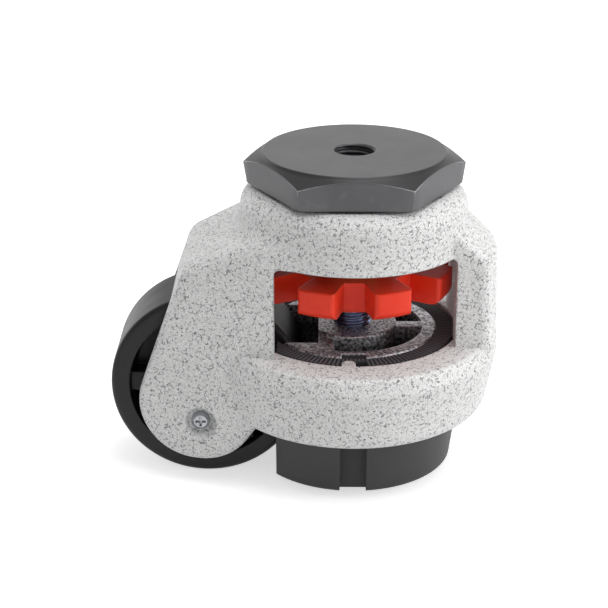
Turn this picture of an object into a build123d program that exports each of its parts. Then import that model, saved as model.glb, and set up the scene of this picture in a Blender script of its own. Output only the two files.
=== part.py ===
from build123d import *
from math import asin, atan2, cos, degrees, hypot, radians, sqrt, tan
import os

os.makedirs("parts", exist_ok=True)

# Levelling castor, in millimetres. The origin is the centre of the tapped hole in the mounting
# head's flat top. +Z is up, the wheel trails on the -X side and the front window faces -Y.

# ---------------------------------------------------------------- mounting head and swivel
hex_across_flats = 48.6
hex_height = 8.5
hex_land_radius = 23.75  # flat circle that the top chamfer leaves
hex_corner_drop = 3.4  # how far down the chamfer reaches at a corner
hex_base_inset = 0.9  # how far the turned corners lean in at the base
hex_turning_margin = 0.2
head_turn = 0.0  # where the head stands on its swivel, degrees
thread_bore_radius = 5.1  # tapping bore of M12 x 1.75
thread_bore_depth = 9.5
stem_radius = 11.0
stem_bore_radius = 6.4
stem_end_gap = 0.5  # from the stem's end down to the adjusting nut
running_clearance = 0.06
seat_gap = 0.05  # between faces that turn on each other
swivel_gap = 0.6  # from the head's underside to the collar's top

ball_radius = 2.0
ball_count = 12
ball_pitch_radius = 17.4
groove_clearance = 0.06
race_web = 0.9
race_height = 1.9
race_half_width = 4.1
race_seat_clearance = 0.15
cage_thickness = 1.0
cage_margin = 0.8
cage_hole_clearance = 0.15
seal_race_gap = 0.8  # from the races out to the seal
seal_width = 1.7
seal_lip_gap = 0.1
kingpin_washer_radius = 16.4
kingpin_washer_thickness = 1.2
circlip_thickness = 1.0
circlip_groove_depth = 0.7
circlip_rim = 2.0  # how far a circlip stands out past its shaft
circlip_opening = 5.0

# ---------------------------------------------------------------- housing
collar_wall = 2.2  # round the thumb wheel's chamber
collar_edge_radius = 5.0
web_thickness = 2.4
window_top_z = -23.8
shelf_z = -48.0
window_left_x = -20.2
window_right_x = 26.0
window_corner_radius = 1.6
star_running_gap = 1.0  # from the thumb wheel to the chamber's wall
ring_crease_radius = 36.6
ring_radius = 38.4
ring_shoulder_drop = 4.0
ring_base_radius = 35.2
ring_base_z = -68.5
ring_base_round = 4.0
ring_crease_round = 1.6
foot_bore_gap = 0.8  # from the foot to its bore
nose_half_width = 16.0
nose_top_z = -15.4
nose_shoulder_z = -24.6
nose_top_inset = 1.2  # the nose starts this far inside the collar's face
nose_shoulder_radius = 37.2
nose_base_radius = 38.3
nose_edge_round = 2.6
hood_top_z = -17.3
hood_root_inset = 6.7  # the hood's top runs this far in over the collar
hood_front_wall = 2.6
hood_thickness = 8.5  # over the wheel's hollow, under the hood's corner
hood_overhang = 5.0  # from the axle back to the hood's corner
hood_shoulder_round = 6.0
hood_corner_round = 6.2
arm_root_x = -8.0
arm_root_low_z = -44.6
arm_end_offset_x = -2.0  # from the axle to the centre of the arm's round end
arm_end_offset_z = -2.8
arm_end_radius = 15.5
arm_end_flat = 0.5
arm_thickness = 7.9  # at the axle, boss included
arm_taper = 14.5  # degrees, in plan
arm_wall = 4.2
arm_edge_round = 3.0
arm_collar_blend = 4.5

# ---------------------------------------------------------------- wheel and axle
wheel_base_z = -86.7
wheel_foot_gap = 4.15  # from the tread to the foot's slot
wheel_radius = 25.2
wheel_width = 21.4
wheel_gap = 1.8  # from the tread to the hood
wheel_side_gap = 0.7  # from the wheel's sides to the arms
tread_chamfer = 1.4
rim_thickness = 4.8
wheel_hub_wall = 3.4
wheel_hub_setback = 0.5  # from the tread's side to the hub's end
wheel_web_half = 2.5
wheel_rib_setback = 2.7
wheel_rib_width = 5.2
wheel_rib_count = 6
hub_fit = 0.03
bush_wall = 1.6
axle_radius = 4.0
axle_slot_depth = 3.0
spacer_width = 3.4
axle_boss_wall = 4.0
axle_boss_drop = 11.4
keeper_fit = 0.1
screw_offset_x = -1.3
screw_offset_z = -6.9
screw_shank_radius = 1.45
screw_head_radius = 2.45
screw_head_height = 1.5
screw_recess_radius = 4.35
screw_recess_depth = 2.4
screw_cross = 2.7
screw_cross_width = 0.6
screw_cross_depth = 0.8
screw_fit = 0.05
screw_recess_floor_radius = 3.3

# ---------------------------------------------------------------- thumb wheel and adjusting nut
star_radius = 26.2
star_top_z = -29.7
star_thickness = 7.4
star_hub_drop = 1.1  # the hub stands this far below the prongs
star_round = 2.6
star_edge_round = 0.5
prong_count = 8
prong_corner_round = 1.2
notch_corner_round = 1.0
notch_root_radius = 17.5
notch_root_width = 5.3
notch_mouth_width = 10.2
thrust_plate_radius = 24.3
thrust_plate_thickness = 2.0
thrust_plate_clearance = 0.2
thrust_screw_count = 3
thrust_screw_inset = 3.7  # from the plate's rim to its screws
thrust_screw_radius = 1.25
thrust_screw_head_radius = 2.6
thrust_screw_socket_radius = 0.9
thrust_screw_depth = 4.0
clip_chamber_gap = 1.0  # round the kingpin washer
nut_flange_radius = 10.5
nut_flange_thickness = 4.0
nut_sleeve_radius = 7.5
nut_across_flats = 14.0
thrust_washer_radius = 11.0

# ---------------------------------------------------------------- spindle and foot
spindle_radius = 4.9
spindle_stop = 4.0  # from the tapped bore's end down to the spindle's top
spindle_end_radius = 3.95
spindle_end_below = 11.5
foot_ring_width = 5.0  # rubber round the carrier
carrier_rim_z = -48.1
carrier_hub_rise = 1.1
carrier_height = 13.0
carrier_hub_radius = 11.6
carrier_rim_width = 3.6
carrier_pocket_depth = 7.0
carrier_rib_width = 3.2
carrier_slot_wall = 4.0
carrier_shoulder = 3.0
carrier_notch_half_width = 3.2
carrier_notch_depth = 2.4
carrier_edge_round = 0.5
foot_slot_x = -9.0
foot_slot_gap = 2.3  # from the wheel's side to the slot
foot_cut_x = -20.0
foot_top_radius = 27.2
foot_base_inset = 0.6  # from the foot's top radius in to its base
foot_top_drop = 0.5
foot_base_z = -84.3
foot_base_round = 1.0
foot_skirt_swell = 1.2  # from the foot's top radius out to its widest
foot_skirt_z = -70.0  # where the foot is widest, just below the housing
foot_top_round = 0.8
foot_fit = 0.05
foot_recess_radius = 7.8
key_half_width = 1.75
key_offset_x = -1.4
key_depth = 3.6
groove_half_width = 3.4
groove_floor_gap = 0.5
foot_washer_radius = 7.3
foot_washer_thickness = 1.4
foot_nut_across_flats = 12.6
foot_nut_height = 6.5

# ---------------------------------------------------------------- levels worked out from these
hex_base_z = -hex_height
collar_top_z = hex_base_z - swivel_gap
groove_radius = ball_radius + groove_clearance
race_inner_radius = ball_pitch_radius - race_half_width
race_outer_radius = ball_pitch_radius + race_half_width
seal_inner_radius = race_outer_radius + seal_race_gap
seal_outer_radius = seal_inner_radius + seal_width
ball_z = hex_base_z - race_web - groove_radius
race_seat_z = ball_z - groove_radius - race_web
web_base_z = race_seat_z - web_thickness
clip_chamber_radius = kingpin_washer_radius + clip_chamber_gap
washer_z = web_base_z - seat_gap
kingpin_clip_z = washer_z - kingpin_washer_thickness - seat_gap
plate_base_z = window_top_z - 0.2
plate_top_z = plate_base_z + thrust_plate_thickness
nut_flange_top_z = star_top_z + nut_flange_thickness
nut_clip_z = plate_top_z + seat_gap + circlip_thickness
nut_top_z = nut_clip_z + 0.6
stem_end_z = nut_top_z + stem_end_gap
star_base_z = star_top_z - star_thickness
hub_base_z = star_base_z - star_hub_drop
spindle_top_z = -thread_bore_depth - spindle_stop
carrier_hub_z = carrier_rim_z + carrier_hub_rise
carrier_base_z = carrier_rim_z - carrier_height
foot_top_z = carrier_rim_z - foot_top_drop
chamber_radius = star_radius + star_running_gap
collar_radius = chamber_radius + collar_wall
nose_top_radius = collar_radius - nose_top_inset
thrust_screw_pitch_radius = thrust_plate_radius - thrust_screw_inset
foot_bore_radius = foot_top_radius + foot_bore_gap
foot_base_radius = foot_top_radius - foot_base_inset
foot_skirt_radius = foot_top_radius + foot_skirt_swell
foot_bore_base_radius = foot_skirt_radius + foot_bore_gap
carrier_radius = foot_top_radius - foot_ring_width
foot_slot_half = wheel_width / 2 + foot_slot_gap
axle_x = foot_slot_x - wheel_foot_gap - wheel_radius
axle_z = wheel_base_z + wheel_radius
rim_inner_radius = wheel_radius - rim_thickness
bush_outer_radius = axle_radius + bush_wall
wheel_hub_radius = bush_outer_radius + wheel_hub_wall
wheel_hub_half = wheel_width / 2 - wheel_hub_setback
wheel_rib_half = wheel_width / 2 - wheel_rib_setback
spacer_outer_radius = axle_radius + spacer_width
axle_boss_half = axle_radius + axle_boss_wall
well_radius = wheel_radius + wheel_gap
hood_root_x = hood_root_inset - collar_radius
hood_corner_x = axle_x - hood_overhang
hood_corner_z = axle_z + well_radius + hood_thickness
arm_end_x = axle_x + arm_end_offset_x
arm_end_z = axle_z + arm_end_offset_z
arm_slope = tan(radians(arm_taper))
arm_inner_half = wheel_width / 2 + wheel_side_gap
arm_outer_half = arm_inner_half + arm_thickness
screw_x = axle_x + screw_offset_x
screw_z = axle_z + screw_offset_z


def arm_half_at(x):
    """Half-width over the outside of the arms at x."""
    return arm_outer_half + (x - axle_x) * arm_slope


def circlip(shaft_radius, z):
    """Open ring of square section in a shaft's groove, its top face at z."""
    with BuildPart() as clip:
        with BuildSketch(Plane.XY.offset(z)):
            Circle(shaft_radius + circlip_rim)
            Circle(shaft_radius - circlip_groove_depth + seat_gap, mode=Mode.SUBTRACT)
            with Locations((shaft_radius, 0)):
                Rectangle(2 * (circlip_rim + circlip_groove_depth) + 1, circlip_opening, mode=Mode.SUBTRACT)
        extrude(amount=-circlip_thickness)
    return clip.part


def ring(inner_radius, outer_radius, top_z, thickness):
    """Flat washer with its top face at top_z."""
    with BuildPart() as washer:
        with BuildSketch(Plane.XY.offset(top_z)):
            Circle(outer_radius)
            Circle(inner_radius, mode=Mode.SUBTRACT)
        extrude(amount=-thickness)
    return washer.part


def finish(part, name):
    """Label a finished piece and write it."""
    part.label = name
    export_step(part, f"parts/{name}.step")


# ================================================================ mounting head
hex_corner_radius = hex_across_flats / sqrt(3)
hex_turned_radius = hex_corner_radius + hex_turning_margin
chamfer_slope = hex_corner_drop / (hex_corner_radius - hex_land_radius)
with BuildPart() as hex_mount:
    with BuildSketch(Plane.XY):
        RegularPolygon(hex_across_flats / 2, 6, major_radius=False, rotation=head_turn)
    extrude(amount=-hex_height)
    with BuildSketch(Plane.XZ):
        with BuildLine():
            Polyline(
                (0, 0),
                (hex_land_radius, 0),
                (hex_turned_radius, -hex_corner_drop - hex_turning_margin * chamfer_slope),
                (hex_corner_radius - hex_base_inset, hex_base_z),
                (0, hex_base_z),
                close=True,
            )
        make_face()
    revolve(axis=Axis.Z, mode=Mode.INTERSECT)
    with BuildSketch(Plane.XY.offset(hex_base_z)):
        Circle(stem_radius)
    extrude(amount=stem_end_z - hex_base_z)
    with BuildSketch(Plane.XZ):
        with BuildLine():
            Polyline(
                (0, 0),
                (thread_bore_radius, 0),
                (thread_bore_radius, -thread_bore_depth),
                (stem_bore_radius, -thread_bore_depth),
                (stem_bore_radius, stem_end_z),
                (0, stem_end_z),
                close=True,
            )
        make_face()
    revolve(axis=Axis.Z, mode=Mode.SUBTRACT)
    with BuildSketch(Plane.XY.offset(kingpin_clip_z)):
        Circle(stem_radius + 1)
        Circle(stem_radius - circlip_groove_depth, mode=Mode.SUBTRACT)
    extrude(amount=-circlip_thickness - seat_gap, mode=Mode.SUBTRACT)
finish(hex_mount.part, "hex_mount")

# ================================================================ swivel ball race
race_width = race_outer_radius - race_inner_radius
with BuildPart() as upper_race:
    with BuildSketch(Plane.XZ):
        with Locations((race_inner_radius + race_width / 2, hex_base_z - race_height / 2)):
            Rectangle(race_width, race_height)
        with Locations((ball_pitch_radius, ball_z)):
            Circle(groove_radius, mode=Mode.SUBTRACT)
    revolve(axis=Axis.Z)
finish(upper_race.part, "upper_race")

with BuildPart() as lower_race:
    with BuildSketch(Plane.XZ):
        with Locations((race_inner_radius + race_width / 2, race_seat_z + race_height / 2)):
            Rectangle(race_width, race_height)
        with Locations((ball_pitch_radius, ball_z)):
            Circle(groove_radius, mode=Mode.SUBTRACT)
    revolve(axis=Axis.Z)
finish(lower_race.part, "lower_race")

cage_half_width = ball_radius + cage_hole_clearance + cage_margin
with BuildPart() as ball_cage:
    with BuildSketch(Plane.XY.offset(ball_z - cage_thickness / 2)):
        Circle(ball_pitch_radius + cage_half_width)
        Circle(ball_pitch_radius - cage_half_width, mode=Mode.SUBTRACT)
        with PolarLocations(ball_pitch_radius, ball_count):
            Circle(ball_radius + cage_hole_clearance, mode=Mode.SUBTRACT)
    extrude(amount=cage_thickness)
finish(ball_cage.part, "ball_cage")

with BuildPart() as swivel_balls:
    with Locations(Location((0, 0, ball_z))):
        with PolarLocations(ball_pitch_radius, ball_count):
            Sphere(ball_radius)
finish(swivel_balls.part, "swivel_balls")

dust_seal = ring(seal_inner_radius, seal_outer_radius, hex_base_z, swivel_gap - seal_lip_gap)
finish(dust_seal, "dust_seal")

kingpin_washer = ring(
    stem_radius + running_clearance, kingpin_washer_radius, washer_z, kingpin_washer_thickness
)
finish(kingpin_washer, "kingpin_washer")
finish(circlip(stem_radius, kingpin_clip_z), "kingpin_circlip")

# ================================================================ cast housing
# The outside is made as its front half and mirrored. The collar and ring are one turned form.
with BuildPart() as collar_half:
    with BuildSketch(Plane.XZ):
        with BuildLine():
            outline = FilletPolyline(
                (0, collar_top_z),
                (collar_radius, collar_top_z),
                (collar_radius, shelf_z),
                (ring_crease_radius, shelf_z),
                (ring_radius, shelf_z - ring_shoulder_drop),
                (ring_base_radius, ring_base_z),
                (0, ring_base_z),
                radius=[collar_edge_radius, 0, ring_crease_round, ring_crease_round, ring_base_round],
            )
            Line(outline @ 1, outline @ 0)
        make_face()
    revolve(axis=Axis.Z, revolution_arc=-180)

# Nose: the buttress opposite the wheel, a turned form cut off square at its sides.
with BuildPart() as nose_half:
    with BuildSketch(Plane.XZ):
        with BuildLine():
            outline = FilletPolyline(
                (chamber_radius, nose_top_z),
                (nose_top_radius, nose_top_z),
                (nose_shoulder_radius, nose_shoulder_z),
                (nose_base_radius, shelf_z - ring_shoulder_drop),
                (chamber_radius, shelf_z - ring_shoulder_drop),
                radius=[0, nose_edge_round, 0],
            )
            Line(outline @ 1, outline @ 0)
        make_face()
    revolve(axis=Axis.Z, revolution_arc=-90)
    with BuildSketch(Plane.XY):
        with Locations((ring_radius / 2, -nose_half_width / 2)):
            Rectangle(ring_radius, nose_half_width)
    extrude(amount=shelf_z - ring_shoulder_drop, mode=Mode.INTERSECT)
    nose_edges = nose_half.edges().filter_by(lambda e: abs(e.center().Y + nose_half_width) < 0.01)
    fillet(nose_edges.sort_by(Axis.X)[-1], nose_edge_round)

# Arm with its half of the hood over the wheel: a side outline cut to the tapered plan.
corner_to_end = atan2(arm_end_z - hood_corner_z, arm_end_x - hood_corner_x)
corner_distance = hypot(arm_end_z - hood_corner_z, arm_end_x - hood_corner_x)
back_slope = tan(corner_to_end - asin(arm_end_radius / corner_distance))
root_to_end = atan2(arm_end_z - arm_root_low_z, arm_end_x - arm_root_x)
root_distance = hypot(arm_end_z - arm_root_low_z, arm_end_x - arm_root_x)
front_slope = tan(root_to_end + asin(arm_end_radius / root_distance))
arm_base_z = arm_end_z - arm_end_radius
heel_x = hood_corner_x + (arm_base_z - hood_corner_z) / back_slope
toe_x = arm_root_x + (arm_base_z - arm_root_low_z) / front_slope
with BuildPart() as arm_half:
    with BuildSketch(Plane.XZ):
        with BuildLine():
            outline = FilletPolyline(
                (arm_root_x, hood_top_z),
                (hood_root_x, hood_top_z),
                (hood_corner_x, hood_corner_z),
                (heel_x, arm_base_z),
                (toe_x, arm_base_z),
                (arm_root_x, arm_root_low_z),
                radius=[
                    hood_shoulder_round,
                    hood_corner_round,
                    arm_end_radius - arm_end_flat,
                    arm_end_radius - arm_end_flat,
                ],
            )
            Line(outline @ 1, outline @ 0)
        make_face()
    extrude(amount=2 * arm_outer_half)
    with BuildSketch(Plane.XY.offset(arm_base_z - 1)):
        with BuildLine():
            Polyline(
                (arm_root_x, 0),
                (heel_x, 0),
                (heel_x, -arm_half_at(heel_x)),
                (arm_root_x, -arm_half_at(arm_root_x)),
                close=True,
            )
        make_face()
    extrude(amount=-arm_base_z, mode=Mode.INTERSECT)
    top_edges = arm_half.edges().filter_by(lambda e: abs(e.center().Z - hood_top_z) < 0.01)
    fillet(top_edges.filter_by(Axis.Y, reverse=True).sort_by(Axis.Y)[0], arm_edge_round)

with BuildPart() as outside_half:
    add(collar_half.part)
    add(arm_half.part)
    hood_seam = outside_half.edges().filter_by(
        lambda e: e.geom_type == GeomType.ELLIPSE and e.center().X < -collar_radius / 2 and e.center().Z > window_top_z
    )
    fillet(hood_seam.sort_by(Axis.X)[0], arm_collar_blend)
    add(nose_half.part)

with BuildPart() as housing:
    add(outside_half.part)
    mirror(about=Plane.XZ)
    # Everything turned out of the middle, from the ball race's seat down to the foot's bore.
    with BuildSketch(Plane.XZ):
        with BuildLine():
            Polyline(
                (0, collar_top_z + 1),
                (race_outer_radius + race_seat_clearance, collar_top_z + 1),
                (race_outer_radius + race_seat_clearance, race_seat_z),
                (stem_radius + running_clearance, race_seat_z),
                (stem_radius + running_clearance, web_base_z),
                (clip_chamber_radius, web_base_z),
                (clip_chamber_radius, plate_top_z),
                (thrust_plate_radius + thrust_plate_clearance, plate_top_z),
                (thrust_plate_radius + thrust_plate_clearance, window_top_z),
                (chamber_radius, window_top_z),
                (chamber_radius, shelf_z),
                (foot_bore_radius, shelf_z),
                (foot_bore_base_radius, ring_base_z),
                (foot_bore_base_radius, ring_base_z - 1),
                (0, ring_base_z - 1),
                close=True,
            )
        make_face()
    revolve(axis=Axis.Z, mode=Mode.SUBTRACT)
    # Window, front and back.
    with BuildSketch(Plane.XZ):
        with BuildLine():
            FilletPolyline(
                (window_left_x, window_top_z),
                (window_right_x, window_top_z),
                (window_right_x, shelf_z),
                (window_left_x, shelf_z),
                radius=[window_corner_radius, window_corner_radius, 0, 0],
                close=True,
            )
        make_face()
    extrude(amount=ring_radius, both=True, mode=Mode.SUBTRACT)

# Hollow of the hood and arms, cut where both the side outline and the plan allow.
well_wide_x = axle_x + (arm_inner_half + arm_wall - arm_outer_half) / arm_slope
well_step_x = -collar_radius - hood_front_wall
well_step_half = arm_half_at(well_step_x) - arm_wall
hood_slope = (hood_corner_z - hood_top_z) / (hood_corner_x - hood_root_x)
core_corner_x = hood_corner_x + arm_wall * 0.7
core_drop = arm_wall * sqrt(1 + hood_slope**2)
with BuildPart() as wheel_well:
    with BuildSketch(Plane.XZ):
        with Locations((axle_x, axle_z)):
            Circle(well_radius)
        with BuildLine():
            Polyline(
                (well_step_x, axle_z),
                (well_step_x, hood_top_z + hood_slope * (well_step_x - hood_root_x) - core_drop),
                (core_corner_x, hood_top_z + hood_slope * (core_corner_x - hood_root_x) - core_drop),
                (axle_x - well_radius * 0.4, axle_z + well_radius * 0.8),
                (axle_x - well_radius * 0.4, axle_z),
                close=True,
            )
        make_face()
        with Locations((axle_x, axle_z - well_radius)):
            Rectangle(2 * well_radius, 2 * well_radius)
    extrude(amount=arm_outer_half, both=True)
    with BuildSketch(Plane.XY.offset(axle_z - 2 * well_radius)):
        with BuildLine():
            Polyline(
                (0, -arm_inner_half),
                (well_step_x, -arm_inner_half),
                (well_step_x, -well_step_half),
                (well_wide_x, -arm_inner_half),
                (axle_x - well_radius, -arm_inner_half),
                (axle_x - well_radius, arm_inner_half),
                (well_wide_x, arm_inner_half),
                (well_step_x, well_step_half),
                (well_step_x, arm_inner_half),
                (0, arm_inner_half),
                close=True,
            )
        make_face()
    extrude(amount=4 * well_radius, mode=Mode.INTERSECT)

# Boss behind each arm's face: it holds the axle's end and its keeper in a slot open below.
with BuildPart() as axle_bosses:
    with BuildSketch(Plane.XZ.offset(arm_inner_half)):
        with Locations((axle_x, axle_z)):
            Circle(axle_boss_half)
        with Locations((axle_x, axle_z - axle_boss_drop / 2)):
            Rectangle(2 * axle_boss_half, axle_boss_drop)
    extrude(amount=arm_wall)
    mirror(about=Plane.XZ)

with BuildPart() as axle_slots:
    with BuildSketch(Plane.XZ.offset(arm_inner_half - 1)):
        with Locations((axle_x, axle_z)):
            Circle(axle_radius + hub_fit)
        with Locations((axle_x, axle_z - axle_boss_drop / 2 - 1)):
            Rectangle(2 * (axle_radius + hub_fit), axle_boss_drop + 2)
    extrude(amount=axle_slot_depth + 1)
    mirror(about=Plane.XZ)

# Countersunk recess and hole for the screw in each arm.
screw_face_half = arm_half_at(screw_x)
screw_seat_half = screw_face_half - screw_recess_depth
screw_axis = Axis((screw_x, 0, screw_z), (0, 1, 0))
with BuildPart() as screw_holes:
    with BuildSketch(Plane.XY.offset(screw_z)):
        with BuildLine():
            Polyline(
                (screw_x, -arm_inner_half),
                (screw_x + screw_shank_radius + screw_fit, -arm_inner_half),
                (screw_x + screw_shank_radius + screw_fit, -screw_seat_half),
                (screw_x + screw_recess_floor_radius, -screw_seat_half),
                (screw_x + screw_recess_radius, -screw_face_half),
                (screw_x + screw_recess_radius, -screw_face_half - 2),
                (screw_x, -screw_face_half - 2),
                close=True,
            )
        make_face()
    revolve(axis=screw_axis)
    mirror(about=Plane.XZ)

key_tip_radius = foot_bore_radius - key_depth
with BuildPart() as key:
    with BuildSketch(Plane.XY.offset(shelf_z)):
        with Locations((key_offset_x, -(key_tip_radius + key_half_width))):
            Circle(key_half_width)
        with Locations((key_offset_x, -(key_tip_radius + key_half_width + foot_bore_radius + 1) / 2)):
            Rectangle(2 * key_half_width, foot_bore_radius + 1 - key_tip_radius - key_half_width)
    extrude(amount=ring_base_z + ring_base_round - shelf_z)

with BuildPart() as thrust_screw_holes:
    with BuildSketch(Plane.XY.offset(plate_top_z + thrust_screw_depth)):
        with PolarLocations(thrust_screw_pitch_radius, thrust_screw_count, start_angle=90):
            Circle(thrust_screw_radius + screw_fit)
    extrude(amount=plate_base_z - plate_top_z - thrust_screw_depth)

with BuildPart() as cast_housing:
    add(housing.part)
    add(wheel_well.part, mode=Mode.SUBTRACT)
    add(axle_bosses.part)
    add(axle_slots.part, mode=Mode.SUBTRACT)
    add(screw_holes.part, mode=Mode.SUBTRACT)
    add(key.part)
    add(thrust_screw_holes.part, mode=Mode.SUBTRACT)
finish(cast_housing.part, "housing")

# ================================================================ axle, keepers and screws
with BuildPart() as axle:
    with BuildSketch(Plane.XZ.offset(-arm_inner_half - axle_slot_depth + seat_gap)):
        with Locations((axle_x, axle_z)):
            Circle(axle_radius)
    extrude(amount=2 * (arm_inner_half + axle_slot_depth - seat_gap))
    chamfer(axle.edges(), 0.4)
finish(axle.part, "axle")

with BuildPart() as spacer_front:
    with BuildSketch(Plane.XZ.offset(wheel_hub_half + seat_gap)):
        with Locations((axle_x, axle_z)):
            Circle(spacer_outer_radius)
            Circle(axle_radius + hub_fit, mode=Mode.SUBTRACT)
    extrude(amount=arm_inner_half - wheel_hub_half - 2 * seat_gap)
finish(spacer_front.part, "spacer_front")

with BuildPart() as spacer_back:
    mirror(spacer_front.part, about=Plane.XZ)
finish(spacer_back.part, "spacer_back")

keeper_top_z = axle_z - axle_radius - keeper_fit
keeper_height = axle_boss_drop - axle_radius - keeper_fit
with BuildPart() as keeper_front:
    with BuildSketch(Plane.XZ.offset(arm_inner_half + seat_gap)):
        with Locations((axle_x, keeper_top_z - keeper_height / 2)):
            Rectangle(2 * axle_radius, keeper_height)
        with Locations((screw_x, screw_z)):
            Circle(screw_shank_radius + screw_fit, mode=Mode.SUBTRACT)
    extrude(amount=axle_slot_depth - 2 * seat_gap)
finish(keeper_front.part, "keeper_front")

with BuildPart() as keeper_back:
    mirror(keeper_front.part, about=Plane.XZ)
finish(keeper_back.part, "keeper_back")

screw_head_half = screw_seat_half + screw_head_height
with BuildPart() as axle_screws:
    with BuildSketch(Plane.XY.offset(screw_z)):
        with BuildLine():
            Polyline(
                (screw_x, -arm_inner_half - 2 * seat_gap),
                (screw_x + screw_shank_radius, -arm_inner_half - 2 * seat_gap),
                (screw_x + screw_shank_radius, -screw_seat_half),
                (screw_x + screw_head_radius, -screw_seat_half),
                (screw_x + screw_head_radius, -screw_head_half + screw_head_height / 2),
                (screw_x + screw_head_radius * 0.7, -screw_head_half),
                (screw_x, -screw_head_half),
                close=True,
            )
        make_face()
    revolve(axis=screw_axis)
    with BuildSketch(Plane.XZ.offset(screw_head_half)):
        with Locations((screw_x, screw_z)):
            Rectangle(screw_cross, screw_cross_width)
            Rectangle(screw_cross_width, screw_cross)
    extrude(amount=-screw_cross_depth, mode=Mode.SUBTRACT)
    mirror(about=Plane.XZ)
finish(axle_screws.part, "axle_screws")

# ================================================================ wheel
wheel_axis = Axis((axle_x, 0, axle_z), (0, 1, 0))
with BuildPart() as wheel:
    with BuildSketch(Plane.XY.offset(axle_z)):
        with BuildLine():
            FilletPolyline(
                (axle_x + bush_outer_radius + hub_fit, -wheel_web_half),
                (axle_x + rim_inner_radius - 1, -wheel_web_half),
                (axle_x + rim_inner_radius, -wheel_width / 2),
                (axle_x + wheel_radius, -wheel_width / 2),
                (axle_x + wheel_radius, wheel_width / 2),
                (axle_x + rim_inner_radius, wheel_width / 2),
                (axle_x + rim_inner_radius - 1, wheel_web_half),
                (axle_x + bush_outer_radius + hub_fit, wheel_web_half),
                radius=[0, 0, 0, tread_chamfer, tread_chamfer, 0, 0, 0],
                close=True,
            )
        make_face()
        with Locations((axle_x + (bush_outer_radius + hub_fit + wheel_hub_radius) / 2, 0)):
            Rectangle(wheel_hub_radius - bush_outer_radius - hub_fit, 2 * wheel_hub_half)
    revolve(axis=wheel_axis)
    with BuildSketch(Plane.XZ.offset(-wheel_rib_half)):
        with Locations((axle_x, axle_z)):
            with PolarLocations(0, wheel_rib_count // 2):
                Rectangle(2 * rim_inner_radius, wheel_rib_width)
            Circle(wheel_hub_radius - 0.5, mode=Mode.SUBTRACT)
    extrude(amount=2 * wheel_rib_half)
finish(wheel.part, "wheel")

with BuildPart() as wheel_bush:
    with BuildSketch(Plane.XZ.offset(-wheel_hub_half)):
        with Locations((axle_x, axle_z)):
            Circle(bush_outer_radius)
            Circle(axle_radius + running_clearance, mode=Mode.SUBTRACT)
    extrude(amount=2 * wheel_hub_half)
finish(wheel_bush.part, "wheel_bush")

# ================================================================ thrust plate and adjusting nut
countersink_height = thrust_screw_head_radius - thrust_screw_radius
with BuildPart() as thrust_plate:
    with BuildSketch(Plane.XY.offset(plate_base_z)):
        Circle(thrust_plate_radius)
        Circle(nut_sleeve_radius + running_clearance, mode=Mode.SUBTRACT)
    extrude(amount=thrust_plate_thickness)
    with Locations(Location((0, 0, plate_base_z))):
        with PolarLocations(thrust_screw_pitch_radius, thrust_screw_count, start_angle=90):
            Cone(
                thrust_screw_head_radius + screw_fit,
                thrust_screw_radius + screw_fit,
                countersink_height,
                align=(Align.CENTER, Align.CENTER, Align.MIN),
                mode=Mode.SUBTRACT,
            )
            Cylinder(
                thrust_screw_radius + screw_fit,
                thrust_plate_thickness,
                align=(Align.CENTER, Align.CENTER, Align.MIN),
                mode=Mode.SUBTRACT,
            )
finish(thrust_plate.part, "thrust_plate")

with BuildPart() as plate_screws:
    with Locations(Location((0, 0, plate_base_z + seat_gap))):
        with PolarLocations(thrust_screw_pitch_radius, thrust_screw_count, start_angle=90):
            Cone(
                thrust_screw_head_radius,
                thrust_screw_radius,
                countersink_height,
                align=(Align.CENTER, Align.CENTER, Align.MIN),
            )
            Cylinder(
                thrust_screw_radius,
                thrust_plate_thickness + thrust_screw_depth - 0.4,
                align=(Align.CENTER, Align.CENTER, Align.MIN),
            )
    with BuildSketch(Plane.XY.offset(plate_base_z + seat_gap)):
        with PolarLocations(thrust_screw_pitch_radius, thrust_screw_count, start_angle=90):
            RegularPolygon(thrust_screw_socket_radius, 6)
    extrude(amount=countersink_height, mode=Mode.SUBTRACT)
finish(plate_screws.part, "plate_screws")

thrust_washer = ring(
    nut_sleeve_radius + running_clearance,
    thrust_washer_radius,
    plate_base_z - seat_gap,
    plate_base_z - nut_flange_top_z - 2 * seat_gap,
)
finish(thrust_washer, "thrust_washer")

with BuildPart() as adjusting_nut:
    with BuildSketch(Plane.XY.offset(hub_base_z)):
        RegularPolygon(nut_across_flats / 2, 6, major_radius=False)
    extrude(amount=star_top_z - hub_base_z)
    with BuildSketch(Plane.XY.offset(star_top_z)):
        Circle(nut_flange_radius)
    extrude(amount=nut_flange_thickness)
    with BuildSketch(Plane.XY.offset(nut_flange_top_z)):
        Circle(nut_sleeve_radius)
    extrude(amount=nut_top_z - nut_flange_top_z)
    with BuildSketch(Plane.XY.offset(nut_clip_z)):
        Circle(nut_sleeve_radius + 1)
        Circle(nut_sleeve_radius - circlip_groove_depth, mode=Mode.SUBTRACT)
    extrude(amount=-circlip_thickness - seat_gap / 2, mode=Mode.SUBTRACT)
    with BuildSketch(Plane.XY.offset(hub_base_z)):
        Circle(spindle_radius + running_clearance)
    extrude(amount=nut_top_z - hub_base_z, mode=Mode.SUBTRACT)
finish(adjusting_nut.part, "adjusting_nut")
finish(circlip(nut_sleeve_radius, nut_clip_z), "nut_circlip")

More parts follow.
